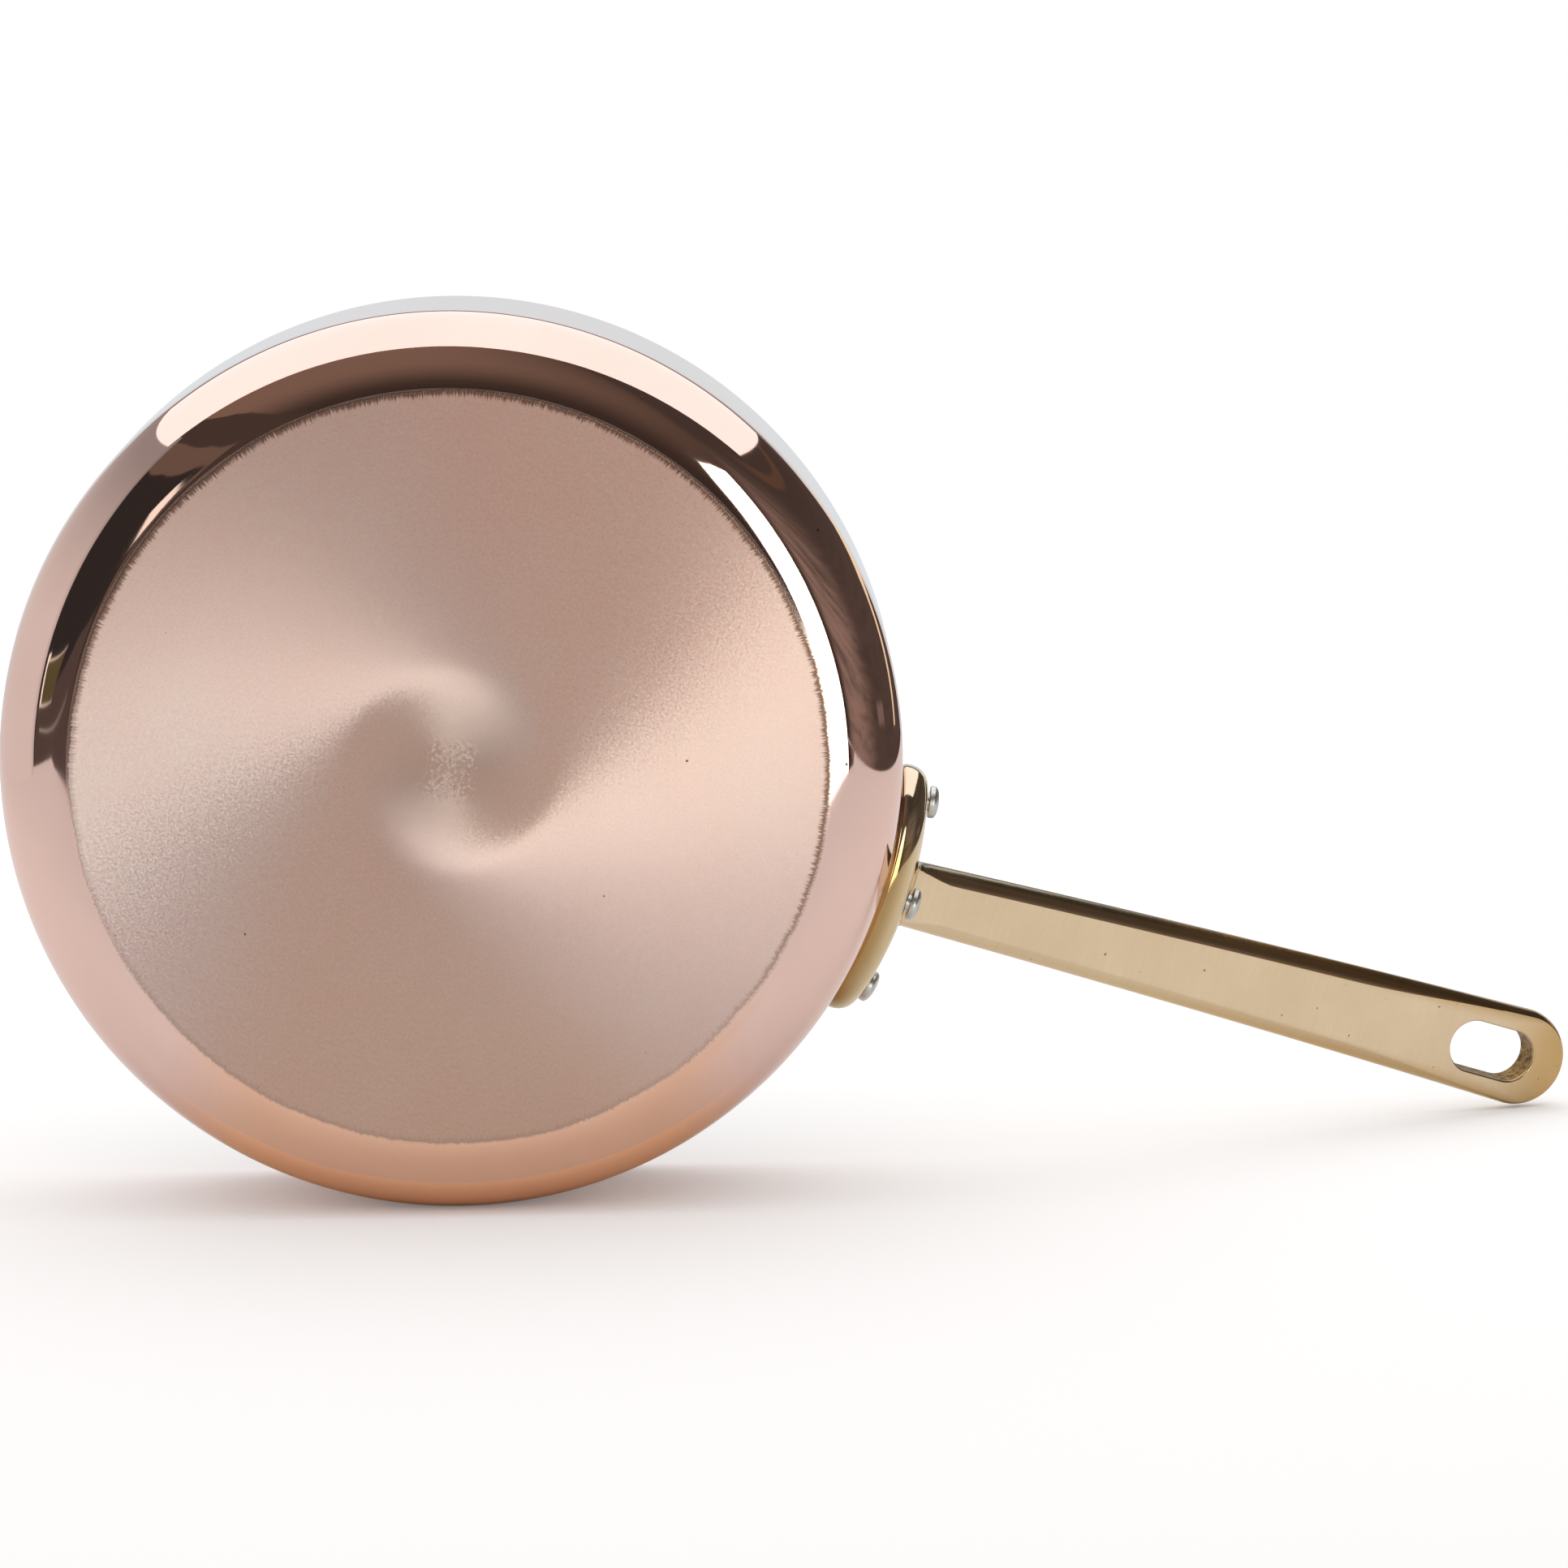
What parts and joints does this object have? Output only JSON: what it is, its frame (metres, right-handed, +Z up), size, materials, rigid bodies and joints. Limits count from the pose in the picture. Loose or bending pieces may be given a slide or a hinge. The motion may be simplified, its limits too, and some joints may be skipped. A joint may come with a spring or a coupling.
{
  "type": "saute pan",
  "caption": "Straight-sided copper saute pan with a steel lining and a long cast brass handle riveted to its wall, with a hanging hole at the end.",
  "frame": {"origin": "centre of the flat base, on the face that the pan rests on", "axes": "+Z up out of the pan, +X along the handle as seen from above, +Y to the left of the handle as seen from the pan's centre"},
  "size_m": [0.4558, 0.244, 0.1441],
  "materials": {
    "copper": "copper: circular satin brushing on the flat base, mirror polish on the corner and wall",
    "lining_steel": "satin, brushed in circles",
    "cast_brass": "cast brass, ground and polished, rough as cast inside the hanging hole",
    "rivet_steel": "smooth, lightly polished"
  },
  "bodies": {
    "root": {"copper_body": "copper", "steel_lining": "lining_steel", "handle": "cast_brass", "rivet_left": "rivet_steel", "rivet_right": "rivet_steel", "rivet_lower": "rivet_steel"}
  },
  "joints": []
}
